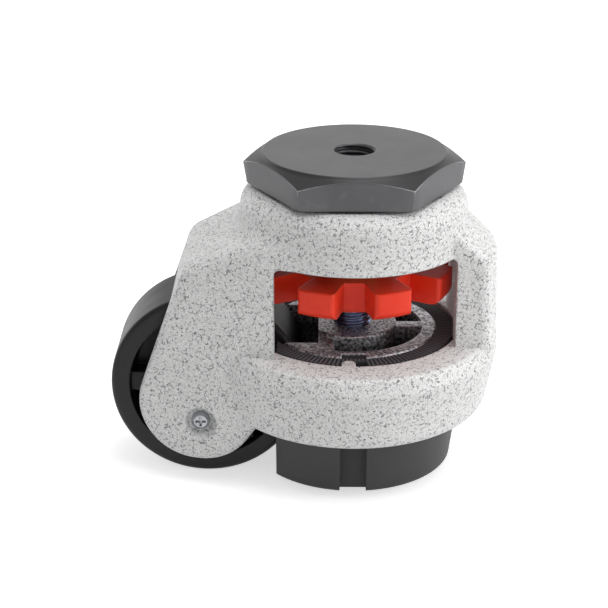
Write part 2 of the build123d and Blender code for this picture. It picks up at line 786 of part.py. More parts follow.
# ================================================================ star-shaped thumb wheel
with BuildPart() as thumb_wheel:
    with BuildSketch(Plane.XY.offset(star_base_z)) as prongs:
        Circle(star_radius)
        with BuildLine(Plane.XY) as notch_line:
            Polyline(
                (-notch_root_width / 2, -notch_root_radius),
                (notch_root_width / 2, -notch_root_radius),
                (notch_mouth_width / 2, -star_radius * cos(asin(notch_mouth_width / 2 / star_radius))),
                (notch_mouth_width, -star_radius * 1.3),
                (-notch_mouth_width, -star_radius * 1.3),
                (-notch_mouth_width / 2, -star_radius * cos(asin(notch_mouth_width / 2 / star_radius))),
                close=True,
            )
        with PolarLocations(0, prong_count):
            add(make_face(notch_line.edges(), mode=Mode.PRIVATE), mode=Mode.SUBTRACT)
        fillet(prongs.vertices().filter_by(lambda v: Vector(v.X, v.Y).length > notch_root_radius + 3), prong_corner_round)
    extrude(amount=star_thickness)
    with BuildSketch(Plane.XZ):
        with BuildLine():
            outline = FilletPolyline(
                (0, star_top_z),
                (star_radius, star_top_z),
                (star_radius, star_base_z),
                (0, star_base_z),
                radius=[star_edge_round, star_round],
            )
            Line(outline @ 1, outline @ 0)
        make_face()
    revolve(axis=Axis.Z, mode=Mode.INTERSECT)
    with BuildSketch(Plane.XY.offset(hub_base_z)):
        Circle(notch_root_radius - prong_corner_round)
    extrude(amount=star_hub_drop)
    with BuildSketch(Plane.XY.offset(hub_base_z)):
        RegularPolygon(nut_across_flats / 2 + seat_gap, 6, major_radius=False)
    extrude(amount=star_top_z - hub_base_z, mode=Mode.SUBTRACT)
finish(thumb_wheel.part, "thumb_wheel")

# ================================================================ spindle and foot
spindle_shoulder_z = carrier_base_z + carrier_shoulder
spindle_end_z = carrier_base_z - spindle_end_below
with BuildPart() as spindle:
    with BuildSketch(Plane.XZ):
        with BuildLine():
            Polyline(
                (0, spindle_top_z),
                (spindle_radius - 0.8, spindle_top_z),
                (spindle_radius, spindle_top_z - 0.8),
                (spindle_radius, spindle_shoulder_z),
                (spindle_end_radius, spindle_shoulder_z),
                (spindle_end_radius, spindle_end_z + 0.6),
                (spindle_end_radius - 0.6, spindle_end_z),
                (0, spindle_end_z),
                close=True,
            )
        make_face()
    revolve(axis=Axis.Z)
finish(spindle.part, "spindle")

with BuildPart() as pad_carrier:
    with BuildSketch(Plane.XY.offset(carrier_base_z)):
        Circle(carrier_radius)
    extrude(amount=carrier_height)
    fillet(pad_carrier.faces().sort_by(Axis.Z)[-1].edges(), carrier_edge_round)
    # Pockets between the hub and the rim.
    with BuildSketch(Plane.XY.offset(carrier_rim_z)):
        Circle(carrier_radius - carrier_rim_width)
        Circle(carrier_hub_radius, mode=Mode.SUBTRACT)
        with Locations((foot_slot_x + carrier_slot_wall - carrier_radius, 0)):
            Rectangle(2 * carrier_radius, 2 * carrier_radius, mode=Mode.SUBTRACT)
        with Locations((carrier_radius / 2, 0)):
            Rectangle(carrier_radius, carrier_rib_width, mode=Mode.SUBTRACT)
    extrude(amount=-carrier_pocket_depth, mode=Mode.SUBTRACT)
    # Hub.
    with BuildSketch(Plane.XY.offset(carrier_rim_z - 1)):
        Circle(carrier_hub_radius)
    extrude(amount=carrier_hub_rise + 1)
    fillet(pad_carrier.faces().sort_by(Axis.Z)[-1].edges(), carrier_edge_round)
    # Slot that passes the wheel, and the notch for the foot's tongue.
    with BuildSketch(Plane.XY.offset(carrier_base_z)):
        with Locations((foot_slot_x - carrier_radius, 0)):
            Rectangle(2 * carrier_radius, 2 * foot_slot_half)
        with Locations((foot_cut_x - carrier_radius, 0)):
            Rectangle(2 * carrier_radius, 2 * carrier_radius)
        with Locations((0, -carrier_radius)):
            Rectangle(2 * carrier_notch_half_width, 2 * carrier_notch_depth)
    extrude(amount=carrier_height + carrier_hub_rise, mode=Mode.SUBTRACT)
    # Stepped bore for the spindle.
    with BuildSketch(Plane.XY.offset(carrier_base_z)):
        Circle(spindle_end_radius + hub_fit)
    extrude(amount=carrier_height + carrier_hub_rise, mode=Mode.SUBTRACT)
    with BuildSketch(Plane.XY.offset(spindle_shoulder_z)):
        Circle(spindle_radius + hub_fit)
    extrude(amount=carrier_height + carrier_hub_rise, mode=Mode.SUBTRACT)
finish(pad_carrier.part, "pad_carrier")

with BuildPart() as foot_pad:
    with BuildSketch(Plane.XZ):
        with BuildLine():
            outline = FilletPolyline(
                (0, foot_top_z),
                (foot_top_radius, foot_top_z),
                (foot_skirt_radius, foot_skirt_z),
                (foot_base_radius, foot_base_z),
                (0, foot_base_z),
                radius=[foot_top_round, 0, foot_base_round],
            )
            Line(outline @ 1, outline @ 0)
        make_face()
    revolve(axis=Axis.Z)
    with BuildSketch(Plane.XY.offset(carrier_base_z)):
        Circle(carrier_radius + foot_fit)
        with Locations((0, -carrier_radius)):
            Rectangle(
                2 * (carrier_notch_half_width - foot_fit),
                2 * (carrier_notch_depth - foot_fit),
                mode=Mode.SUBTRACT,
            )
    extrude(amount=carrier_height, mode=Mode.SUBTRACT)
    with BuildSketch(Plane.XY.offset(foot_base_z)):
        Circle(foot_recess_radius)
        with Locations((foot_slot_x - foot_top_radius, 0)):
            Rectangle(2 * foot_top_radius, 2 * foot_slot_half)
        with Locations((foot_cut_x - foot_top_radius, 0)):
            Rectangle(2 * foot_top_radius, 2 * foot_top_radius)
        with Locations((0, -foot_top_radius - key_tip_radius + groove_floor_gap)):
            Rectangle(2 * groove_half_width, 2 * foot_top_radius)
    extrude(amount=foot_top_z - foot_base_z, mode=Mode.SUBTRACT)
finish(foot_pad.part, "foot_pad")

foot_washer_z = carrier_base_z
foot_washer = ring(spindle_end_radius + hub_fit, foot_washer_radius, foot_washer_z, foot_washer_thickness)
finish(foot_washer, "foot_washer")

with BuildPart() as foot_nut:
    with BuildSketch(Plane.XY.offset(foot_washer_z - foot_washer_thickness)):
        RegularPolygon(foot_nut_across_flats / 2, 6, major_radius=False)
        Circle(spindle_end_radius + hub_fit, mode=Mode.SUBTRACT)
    extrude(amount=-foot_nut_height)
finish(foot_nut.part, "foot_nut")
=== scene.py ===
"""Looks of the levelling castor: finishes for every piece, its threads and ribs, floor, light and camera."""

import bpy
import numpy as np
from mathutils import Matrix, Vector


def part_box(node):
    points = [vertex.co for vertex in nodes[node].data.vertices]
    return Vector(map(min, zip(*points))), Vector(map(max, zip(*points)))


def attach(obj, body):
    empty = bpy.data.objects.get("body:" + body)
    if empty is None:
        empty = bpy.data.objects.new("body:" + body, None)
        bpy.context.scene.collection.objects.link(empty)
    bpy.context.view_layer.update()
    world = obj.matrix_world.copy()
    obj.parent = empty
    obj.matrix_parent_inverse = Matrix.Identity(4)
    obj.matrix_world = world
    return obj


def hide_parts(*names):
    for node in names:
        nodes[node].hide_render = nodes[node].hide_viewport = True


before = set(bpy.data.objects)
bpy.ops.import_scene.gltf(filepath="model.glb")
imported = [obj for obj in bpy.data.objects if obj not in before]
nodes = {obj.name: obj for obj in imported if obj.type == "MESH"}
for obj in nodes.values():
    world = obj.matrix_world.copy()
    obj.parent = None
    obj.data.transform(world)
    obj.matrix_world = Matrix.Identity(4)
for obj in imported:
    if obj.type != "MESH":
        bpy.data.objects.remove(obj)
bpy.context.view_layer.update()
MM = 0.001

# The mounting head: hexagon and crown
HEAD_FLAT = 24.65 * MM  # from the axis to a flat
HEAD_BASE_CORNER = 27.65 * MM  # the corners are turned down to this at the base
HEAD_HEIGHT = 8.5 * MM
CROWN_LAND = 23.3 * MM  # flat circle inside the crown
CROWN_SLOPE = 0.565
CROWN_SHOULDER = 0.3 * MM  # extra drop just outside the land
CROWN_SHOULDER_WIDTH = 0.8 * MM
EDGE_HIGHLIGHT_LOW = -5.0 * MM  # painted highlight on the edges round the crown, above this
EDGE_HIGHLIGHT_HIGH = -3.4 * MM
EDGE_HIGHLIGHT_CORNER_START = 24.6 * MM  # and more of the painted highlight from this radius towards the corners
EDGE_HIGHLIGHT_CORNER_FULL = 27.6 * MM
BASE_BREAK = 0.25 * MM  # small chamfer round the base
STEM_RADIUS = 11.0 * MM
STEM_BORE_RADIUS = 6.4 * MM
CLIP_GROOVE_DEPTH = 0.7 * MM
HOLE_RADIUS = 5.1 * MM  # of the tapping bore
HOLE_DEPTH = 9.5 * MM
HOLE_MOUTH = 0.35 * MM  # chamfer round the mouth

# The foot's carrier: its pockets grow dark between these depths under its top
POCKET_SHADE_START = 2.5 * MM
POCKET_SHADE_END = 7.0 * MM

# The ribbed ring on the foot's top
RIB_COUNT = 144  # in a full turn
RIB_HEIGHT = 0.3 * MM
RIB_RING_OUTER = 26.7 * MM  # radius
GROOVE_HALF_WIDTH = 3.7 * MM  # of the gap that the key groove leaves in the ring
GROOVE_FLOOR = 23.6 * MM  # from the axis


# ---------------------------------------------------------------- helpers for finishes
def effect_group(name, inputs, outputs):
    """Empty shader node group with its named inputs and outputs."""
    tree = bpy.data.node_groups.new(name, "ShaderNodeTree")
    for label, kind, value in inputs:
        socket = tree.interface.new_socket(name=label, in_out="INPUT", socket_type=kind)
        if value is not None:
            socket.default_value = value
    for label, kind in outputs:
        tree.interface.new_socket(name=label, in_out="OUTPUT", socket_type=kind)
    return tree, tree.nodes.new("NodeGroupInput").outputs, tree.nodes.new("NodeGroupOutput").inputs


def put(tree, socket, value):
    """Link an output to a socket, or set the socket to a plain value."""
    if isinstance(value, bpy.types.NodeSocket):
        tree.links.new(value, socket)
    else:
        socket.default_value = value


def maths(tree, operation, *values, clamp=False):
    """One Math node; gives its output."""
    node = tree.nodes.new("ShaderNodeMath")
    node.operation = operation
    node.use_clamp = clamp
    for socket, value in zip(node.inputs, values):
        put(tree, socket, value)
    return node.outputs[0]


def vector_maths(tree, operation, *values):
    """One Vector Math node; gives the output that the operation fills."""
    node = tree.nodes.new("ShaderNodeVectorMath")
    node.operation = operation
    for socket, value in zip(node.inputs, values):
        put(tree, socket, value)
    return node.outputs["Value" if operation in ("DOT_PRODUCT", "LENGTH", "DISTANCE") else "Vector"]


def scaled(tree, vector, factor):
    """A vector times one number."""
    node = tree.nodes.new("ShaderNodeVectorMath")
    node.operation = "SCALE"
    put(tree, node.inputs[0], vector)
    put(tree, node.inputs["Scale"], factor)
    return node.outputs["Vector"]


def noise(tree, position, scale, detail=2.0, roughness=0.5):
    """Noise Texture; gives the node."""
    node = tree.nodes.new("ShaderNodeTexNoise")
    put(tree, node.inputs["Vector"], position)
    put(tree, node.inputs["Scale"], scale)
    node.inputs["Detail"].default_value = detail
    node.inputs["Roughness"].default_value = roughness
    return node


def ramp(tree, value, low, high, to_low=0.0, to_high=1.0):
    """Value from low..high carried onto to_low..to_high, held at the ends."""
    node = tree.nodes.new("ShaderNodeMapRange")
    node.clamp = True
    for label, number in (
        ("Value", value),
        ("From Min", low),
        ("From Max", high),
        ("To Min", to_low),
        ("To Max", to_high),
    ):
        put(tree, node.inputs[label], number)
    return node.outputs[0]


def blend_colours(tree, factor, first, second):
    """Mix of two colours: the first at a factor of 0, the second at 1."""
    node = tree.nodes.new("ShaderNodeMix")
    node.data_type = "RGBA"
    put(tree, node.inputs["Factor"], factor)
    put(tree, node.inputs[6], first)
    put(tree, node.inputs[7], second)
    return node.outputs[2]


# ---------------------------------------------------------------- effects that finishes share
def build_soft_edges():
    """Rounds sharp edges in shading by a radius, and gives a mask of where the edges are."""
    tree, given, gives = effect_group(
        "soft_edges",
        [("Radius", "NodeSocketFloat", 0.4 * MM), ("Reach", "NodeSocketFloat", 6.0)],
        [("Normal", "NodeSocketVector"), ("Edge", "NodeSocketFloat")],
    )
    rounded = tree.nodes.new("ShaderNodeBevel")
    rounded.samples = 6
    tree.links.new(given["Radius"], rounded.inputs["Radius"])
    true_normal = tree.nodes.new("ShaderNodeNewGeometry").outputs["Normal"]
    turn = maths(tree, "SUBTRACT", 1.0, vector_maths(tree, "DOT_PRODUCT", rounded.outputs[0], true_normal))
    tree.links.new(rounded.outputs[0], gives["Normal"])
    tree.links.new(maths(tree, "MULTIPLY", turn, given["Reach"], clamp=True), gives["Edge"])
    return tree


def build_grain():
    """Fine grain of a surface: a height for its bump and a slow mottling from 0 to 1."""
    tree, given, gives = effect_group(
        "grain",
        [("Position", "NodeSocketVector", None), ("Scale", "NodeSocketFloat", 1500.0)],
        [("Height", "NodeSocketFloat"), ("Mottle", "NodeSocketFloat")],
    )
    fine = noise(tree, given["Position"], given["Scale"], 4.0, 0.6)
    slow = noise(tree, given["Position"], maths(tree, "MULTIPLY", given["Scale"], 0.07), 3.0, 0.55)
    tree.links.new(fine.outputs[0], gives["Height"])
    tree.links.new(ramp(tree, slow.outputs[0], 0.3, 0.7), gives["Mottle"])
    return tree


def build_veins():
    """Short dark squiggles of a vein-effect powder coat over its fine powdery skin.

    A line is where a place, bent by a noise, is near the wall between two Voronoi cells, and a second noise
    breaks the lines into short pieces. The skin is a finer noise, a shade and a part of the height.
    """
    tree, given, gives = effect_group(
        "powder_veins",
        [
            ("Position", "NodeSocketVector", None),
            ("Scale", "NodeSocketFloat", 500.0),
            ("Width", "NodeSocketFloat", 0.06),
            ("Cover", "NodeSocketFloat", 0.5),
        ],
        [("Vein", "NodeSocketFloat"), ("Skin", "NodeSocketFloat"), ("Height", "NodeSocketFloat")],
    )
    wander = noise(tree, given["Position"], maths(tree, "MULTIPLY", given["Scale"], 2.2), 2.0)
    reach = maths(tree, "DIVIDE", 0.9, given["Scale"])
    shift = scaled(tree, vector_maths(tree, "SUBTRACT", wander.outputs["Color"], (0.5, 0.5, 0.5)), reach)
    cells = tree.nodes.new("ShaderNodeTexVoronoi")
    cells.feature = "DISTANCE_TO_EDGE"
    put(tree, cells.inputs["Vector"], vector_maths(tree, "ADD", given["Position"], shift))
    put(tree, cells.inputs["Scale"], given["Scale"])
    wall = cells.outputs["Distance"]
    core = maths(tree, "MULTIPLY", given["Width"], 0.35)
    line = maths(tree, "SUBTRACT", 1.0, ramp(tree, wall, core, given["Width"]))
    breaks = noise(tree, given["Position"], maths(tree, "MULTIPLY", given["Scale"], 1.3), 1.0)
    pieces = ramp(tree, breaks.outputs[0], given["Cover"], maths(tree, "ADD", given["Cover"], 0.05))
    vein = maths(tree, "MULTIPLY", line, pieces, clamp=True)
    skin = noise(tree, given["Position"], maths(tree, "MULTIPLY", given["Scale"], 3.4), 2.0, 0.6)
    skin_height = maths(tree, "MULTIPLY", skin.outputs[0], 0.6)
    height = maths(tree, "SUBTRACT", skin_height, maths(tree, "MULTIPLY", vein, 0.5))
    tree.links.new(vein, gives["Vein"])
    tree.links.new(ramp(tree, skin.outputs[0], 0.3, 0.7), gives["Skin"])
    tree.links.new(height, gives["Height"])
    return tree


soft_edges = build_soft_edges()
grain = build_grain()
powder_veins = build_veins()


# ---------------------------------------------------------------- finishes
class Finish:
    """A material with its Principled shader, the piece's own coordinates and the shared effects."""

    def __init__(self, name, roughness, metallic=0.0, specular=0.5):
        self.material = bpy.data.materials.new(name)
        self.material.use_nodes = True
        self.tree = self.material.node_tree
        self.shader = self.tree.nodes["Principled BSDF"]
        self.shader.inputs["Roughness"].default_value = roughness
        self.shader.inputs["Metallic"].default_value = metallic
        self.shader.inputs["Specular IOR Level"].default_value = specular
        self.place = self.tree.nodes.new("ShaderNodeTexCoord").outputs["Object"]

    def effect(self, group, **values):
        """Place a shared effect with its own values; gives its outputs."""
        node = self.tree.nodes.new("ShaderNodeGroup")
        node.node_tree = group
        if "Position" in node.inputs:
            self.tree.links.new(self.place, node.inputs["Position"])
        for label, value in values.items():
            put(self.tree, node.inputs[label], value)
        return node.outputs

    def axes(self):
        """The piece's own x, y and z."""
        split = self.tree.nodes.new("ShaderNodeSeparateXYZ")
        self.tree.links.new(self.place, split.inputs[0])
        return split.outputs

    def colour(self, value):
        put(self.tree, self.shader.inputs["Base Color"], value)

    def rough(self, value):
        put(self.tree, self.shader.inputs["Roughness"], value)

    def bump(self, height, depth, strength=1.0, under=None):
        """Relief of a height in metres on top of another normal."""
        node = self.tree.nodes.new("ShaderNodeBump")
        node.inputs["Strength"].default_value = strength
        node.inputs["Distance"].default_value = depth
        put(self.tree, node.inputs["Height"], height)
        if under is not None:
            self.tree.links.new(under, node.inputs["Normal"])
        self.tree.links.new(node.outputs[0], self.shader.inputs["Normal"])
        return node.outputs[0]


def rgb(red, green, blue):
    """Colour given as it looks on a screen, 0 to 255, as the linear values a shader takes."""
    c = np.array([red, green, blue]) / 255.0
    linear = np.where(c <= 0.04045, c / 12.92, ((c + 0.055) / 1.055) ** 2.4)
    return (*[float(v) for v in linear], 1.0)


def vein_powder_coat():
    """Light grey powder coat with fine dark veins, on a casting."""
    f = Finish("vein_powder_coat", 0.45, specular=0.4)
    edges = f.effect(soft_edges, Radius=0.8 * MM, Reach=3.0)
    veins = f.effect(powder_veins, Scale=840.0, Width=0.075, Cover=0.5)
    cloud = f.effect(grain, Scale=700.0)
    coat = blend_colours(f.tree, veins["Skin"], rgb(188, 188, 188), rgb(246, 246, 245))
    coat = blend_colours(f.tree, maths(f.tree, "MULTIPLY", cloud["Mottle"], 0.2), coat, rgb(240, 240, 239))
    strength = maths(f.tree, "MULTIPLY", veins["Vein"], 0.9)
    f.colour(blend_colours(f.tree, strength, coat, rgb(70, 70, 72)))
    f.rough(ramp(f.tree, cloud["Mottle"], 0.0, 1.0, 0.4, 0.52))
    f.bump(veins["Height"], 0.12 * MM, 0.6, edges["Normal"])
    return f.material


def phosphated_head():
    """Dark satin steel of the mounting head, with painted shade on its crown and a painted highlight on the
    edges round it, stronger towards the corners and the top.

    The crown is where a place lies near the height that crown_drop gives for its radius.
    """
    f = Finish("phosphated_head", 0.38, metallic=0.6, specular=0.5)
    edges = f.effect(soft_edges, Radius=0.4 * MM, Reach=9.0)
    skin = f.effect(grain, Scale=1300.0)
    scuffs = f.effect(grain, Scale=260.0)
    x, y, z = f.axes()
    radius = maths(f.tree, "SQRT", maths(f.tree, "MULTIPLY_ADD", x, x, maths(f.tree, "MULTIPLY", y, y)))
    out = maths(f.tree, "MAXIMUM", maths(f.tree, "SUBTRACT", radius, CROWN_LAND), 0.0)
    shoulder = ramp(f.tree, out, 0.0, CROWN_SHOULDER_WIDTH, 0.0, CROWN_SHOULDER)
    drop = maths(f.tree, "MULTIPLY_ADD", out, CROWN_SLOPE, shoulder)
    off_crown = maths(f.tree, "ABSOLUTE", maths(f.tree, "ADD", z, drop))
    near_crown = ramp(f.tree, off_crown, 0.1 * MM, 0.25 * MM, 1.0, 0.0)
    crown = maths(f.tree, "MULTIPLY", near_crown, ramp(f.tree, out, 0.0, 0.2 * MM))
    steel = blend_colours(f.tree, skin["Mottle"], rgb(82, 82, 84), rgb(94, 94, 96))
    scuff = ramp(f.tree, scuffs["Height"], 0.6, 0.72, 0.0, 0.12)
    steel = blend_colours(f.tree, scuff, steel, rgb(130, 130, 132))
    # painted shade: the crown's cone is darkened towards near black
    steel = blend_colours(f.tree, maths(f.tree, "MULTIPLY", crown, 0.8), steel, rgb(50, 50, 51))
    # painted highlight along the crown's edges, stronger towards the corners and the top
    corner = ramp(f.tree, radius, EDGE_HIGHLIGHT_CORNER_START, EDGE_HIGHLIGHT_CORNER_FULL, 0.15, 1.0)
    above = ramp(f.tree, z, EDGE_HIGHLIGHT_LOW, EDGE_HIGHLIGHT_HIGH, 0.1, 1.0)
    edge_highlight = maths(f.tree, "MULTIPLY", edges["Edge"], maths(f.tree, "MULTIPLY", corner, above))
    f.colour(blend_colours(f.tree, edge_highlight, steel, rgb(200, 200, 202)))
    f.rough(ramp(f.tree, skin["Mottle"], 0.0, 1.0, 0.34, 0.46))
    f.bump(skin["Height"], 0.03 * MM, 0.6, edges["Normal"])
    return f.material


def red_moulding():
    """Glossy red plastic of the thumb wheel with a fine moulded grain."""
    f = Finish("red_moulding", 0.34, specular=0.25)
    edges = f.effect(soft_edges, Radius=0.5 * MM, Reach=4.0)
    skin = f.effect(grain, Scale=1600.0)
    red = blend_colours(f.tree, skin["Mottle"], rgb(234, 54, 30), rgb(242, 64, 38))
    # painted highlight: the edges lighten to a pale pinkish red
    f.colour(blend_colours(f.tree, maths(f.tree, "MULTIPLY", edges["Edge"], 0.45), red, rgb(250, 118, 92)))
    f.rough(ramp(f.tree, skin["Mottle"], 0.0, 1.0, 0.3, 0.4))
    f.bump(skin["Height"], 0.03 * MM, 0.4, edges["Normal"])
    return f.material


def black_nylon():
    """Black nylon of the wheel: semi-gloss, faintly mottled, with a painted highlight that greys its edges.
    """
    f = Finish("black_nylon", 0.42, specular=0.3)
    edges = f.effect(soft_edges, Radius=0.5 * MM, Reach=3.0)
    skin = f.effect(grain, Scale=1100.0)
    black = blend_colours(f.tree, skin["Mottle"], rgb(20, 20, 21), rgb(30, 30, 31))
    # painted highlight: the edges turn grey
    f.colour(blend_colours(f.tree, maths(f.tree, "MULTIPLY", edges["Edge"], 0.5), black, rgb(74, 74, 76)))
    f.rough(ramp(f.tree, skin["Mottle"], 0.0, 1.0, 0.36, 0.5))
    f.bump(skin["Height"], 0.04 * MM, 0.5, edges["Normal"])
    return f.material


def cast_aluminium(node):
    """Bare granular casting of the foot's carrier, with its grain painted as glints, a painted highlight on
    its edges and painted shade in its pockets.
    """
    f = Finish("cast_aluminium", 0.45, metallic=0.8)
    edges = f.effect(soft_edges, Radius=0.5 * MM, Reach=6.0)
    coarse = f.effect(grain, Scale=1300.0)
    skin = f.effect(grain, Scale=3000.0)
    # the grain's tone, painted as glints: bright spots of painted reflection on a darker cast grey
    glint = ramp(f.tree, coarse["Height"], 0.4, 0.62)
    tone = blend_colours(f.tree, glint, rgb(86, 86, 90), rgb(222, 222, 226))
    # painted highlight: the edges lighten towards near white
    tone = blend_colours(f.tree, maths(f.tree, "MULTIPLY", edges["Edge"], 0.9), tone, rgb(246, 246, 248))
    top = float(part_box(node)[1][2])
    # painted shade: the pockets darken towards near black with depth under the top
    shade = ramp(f.tree, f.axes()[2], top - POCKET_SHADE_END, top - POCKET_SHADE_START, 0.85, 0.0)
    f.colour(blend_colours(f.tree, shade, tone, rgb(22, 22, 24)))
    f.rough(ramp(f.tree, skin["Height"], 0.3, 0.7, 0.25, 0.55))
    relief = f.bump(coarse["Height"], 0.3 * MM, 1.0, edges["Normal"])
    f.bump(skin["Height"], 0.1 * MM, 0.8, relief)
    return f.material


def foot_rubber():
    """Matt black rubber of the foot, lighter grey on its edges."""
    f = Finish("foot_rubber", 0.62, specular=0.35)
    edges = f.effect(soft_edges, Radius=0.5 * MM, Reach=3.0)
    skin = f.effect(grain, Scale=1000.0)
    black = blend_colours(f.tree, skin["Mottle"], rgb(50, 50, 51), rgb(61, 61, 62))
    f.colour(blend_colours(f.tree, maths(f.tree, "MULTIPLY", edges["Edge"], 0.35), black, rgb(96, 96, 97)))
    f.rough(ramp(f.tree, skin["Mottle"], 0.0, 1.0, 0.48, 0.62))
    f.bump(skin["Height"], 0.05 * MM, 0.6, edges["Normal"])
    return f.material


def ribbed_rubber():
    """Rubber of the foot's ribbed ring: a painted highlight greys the crests and painted shade blackens the
    valleys between them.
    """
    f = Finish("ribbed_rubber", 0.55, specular=0.35)
    skin = f.effect(grain, Scale=1000.0)
    x, y = f.axes()[:2]
    turn = maths(f.tree, "MULTIPLY", maths(f.tree, "ARCTAN2", y, x), float(RIB_COUNT))
    crest = maths(f.tree, "MULTIPLY_ADD", maths(f.tree, "SINE", turn), 0.5, 0.5)
    # painted highlight on the crests and painted shade between them, by a sine of the turn
    f.colour(blend_colours(f.tree, crest, rgb(34, 34, 35), rgb(98, 100, 104)))
    f.rough(ramp(f.tree, skin["Mottle"], 0.0, 1.0, 0.45, 0.6))
    f.bump(skin["Height"], 0.05 * MM, 0.6)
    return f.material


def plated_steel(name, first, second, roughness=0.3, metallic=0.9):
    """Plated or ground steel with a faint clouding and a painted highlight on its edges."""
    f = Finish(name, roughness, metallic=metallic)
    edges = f.effect(soft_edges, Radius=0.2 * MM, Reach=5.0)
    skin = f.effect(grain, Scale=1900.0)
    tone = blend_colours(f.tree, skin["Mottle"], first, second)
    # painted highlight: the edges lighten towards near white
    f.colour(blend_colours(f.tree, maths(f.tree, "MULTIPLY", edges["Edge"], 0.5), tone, rgb(205, 206, 208)))
    f.rough(ramp(f.tree, skin["Mottle"], 0.0, 1.0, roughness * 0.85, roughness * 1.25))
    f.bump(skin["Height"], 0.015 * MM, 0.5, edges["Normal"])
    return f.material


def plain_plastic(name, first, second, roughness=0.45):
    """Moulded plastic or soft seal with a fine grain."""
    f = Finish(name, roughness)
    edges = f.effect(soft_edges, Radius=0.3 * MM, Reach=3.0)
    skin = f.effect(grain, Scale=1500.0)
    f.colour(blend_colours(f.tree, skin["Mottle"], first, second))
    f.rough(ramp(f.tree, skin["Mottle"], 0.0, 1.0, roughness * 0.9, roughness * 1.15))
    f.bump(skin["Height"], 0.03 * MM, 0.4, edges["Normal"])
    return f.material


bright_zinc = plated_steel("bright_zinc", rgb(150, 152, 156), rgb(176, 178, 182), 0.36, 0.8)
dull_zinc = plated_steel("dull_zinc", rgb(150, 152, 156), rgb(176, 178, 182), 0.36)
dark_zinc = plated_steel("dark_zinc", rgb(122, 134, 166), rgb(156, 168, 200), 0.16, 0.92)
ground_steel = plated_steel("ground_steel", rgb(148, 148, 150), rgb(172, 172, 174), 0.22)
spring_steel = plated_steel("spring_steel", rgb(58, 58, 60), rgb(78, 78, 80), 0.34)
turned_brass = plated_steel("turned_brass", rgb(176, 146, 84), rgb(196, 166, 100), 0.3)
seal_rubber = plain_plastic("seal_rubber", rgb(18, 18, 18), rgb(28, 28, 28), 0.6)
cage_plastic = plain_plastic("cage_plastic", rgb(120, 108, 84), rgb(136, 124, 98))
natural_acetal = plain_plastic("natural_acetal", rgb(222, 220, 212), rgb(234, 232, 224))

finishes = {
    "housing": vein_powder_coat(),
    "hex_mount": phosphated_head(),
    "thumb_wheel": red_moulding(),
    "wheel": black_nylon(),
    "pad_carrier": cast_aluminium("pad_carrier"),
    "foot_pad": foot_rubber(),
    "spindle": dark_zinc,
    "adjusting_nut": turned_brass,
    "dust_seal": seal_rubber,
    "ball_cage": cage_plastic,
    "wheel_bush": natural_acetal,
    "spacer_front": natural_acetal,
    "spacer_back": natural_acetal,
    "axle_screws": bright_zinc,
    "swivel_balls": ground_steel,
    "upper_race": ground_steel,
    "lower_race": ground_steel,
    "axle": ground_steel,
    "thrust_washer": ground_steel,
    "kingpin_circlip": spring_steel,
    "nut_circlip": spring_steel,
}
for name, piece in nodes.items():
    material = finishes.get(name, dull_zinc)
    piece.data.materials.clear()
    piece.data.materials.append(material)


# ---------------------------------------------------------------- pieces with threads and ribs
def smooth_step(t):
    """0 below 0, 1 above 1, and a smooth S between."""
    t = np.clip(t, 0.0, 1.0)
    return t * t * (3.0 - 2.0 * t)


def thread_wave(z, turn, pitch):
    """Trapezoid wave from 0 at a crest to 1 at a root, of z over the pitch less the turn."""
    phase = (z / pitch - turn / (2 * np.pi)) % 1.0
    return np.clip(np.abs(phase - 0.5) * 4 - 0.5, 0, 1)


def solid_piece(name, vertices, faces, material, sharp_degrees=24.0):
    """Object at the origin with a mesh of these vertices and faces, shaded smooth up to a sharp angle."""
    mesh = bpy.data.meshes.new(name)
    mesh.from_pydata(vertices.tolist(), [], faces)
    mesh.polygons.foreach_set("use_smooth", np.ones(len(mesh.polygons), dtype=bool))
    mesh.set_sharp_from_angle(angle=np.radians(sharp_degrees))
    mesh.materials.append(material)
    mesh.update()
    piece = bpy.data.objects.new(name, mesh)
    bpy.context.scene.collection.objects.link(piece)
    return piece


def lathe_piece(name, radii, heights, turn, material, through_hole=False):
    """Piece from radii and heights on a grid, rows along its profile and columns round the axis.

    A piece with a through hole has its last row joined to its first. Any other is closed by a fan at each
    end.
    """
    rows, columns = radii.shape
    points = np.stack([radii * np.cos(turn), radii * np.sin(turn), heights], axis=-1)
    index = np.arange(rows * columns).reshape(rows, columns)
    ring = np.vstack([index, index[:1]]) if through_hole else index
    right = np.roll(ring, -1, axis=1)
    faces = np.stack([ring[:-1], right[:-1], right[1:], ring[1:]], axis=-1).reshape(-1, 4).tolist()
    vertices = points.reshape(-1, 3)
    if not through_hole:
        vertices = np.vstack([vertices, points[0].mean(axis=0), points[-1].mean(axis=0)])
        low, high = rows * columns, rows * columns + 1
        faces += np.stack([right[0], index[0], np.full(columns, low)], axis=-1).tolist()
        faces += np.stack([index[-1], right[-1], np.full(columns, high)], axis=-1).tolist()
    return solid_piece(name, vertices, faces, material)


def threaded_spindle(node, pitch=1.5 * MM, depth=0.62 * MM, columns=48, rows_per_turn=10):
    """Shaft whose radius is its plain radius less the thread wave, cut to its narrow end and chamfers."""
    end_length, end_step = 14.5 * MM, 0.95 * MM
    top_chamfer, end_chamfer = 0.8 * MM, 0.6 * MM
    low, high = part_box(node)
    radius = (high[0] - low[0]) / 2
    z = np.linspace(low[2], high[2], int((high[2] - low[2]) / pitch * rows_per_turn))[:, None]
    turn = np.linspace(0, 2 * np.pi, columns, endpoint=False)[None, :]
    r = radius - depth * thread_wave(z, turn, pitch)
    r = np.where(z < low[2] + end_length, np.minimum(r, radius - end_step), r)
    r = np.minimum(r, radius - top_chamfer + (high[2] - z))
    r = np.minimum(r, radius - end_step - end_chamfer + (z - low[2]))
    piece = lathe_piece("spindle_threaded", r, z + 0 * turn, turn, dark_zinc)
    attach(piece, "pad")
    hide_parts(node)


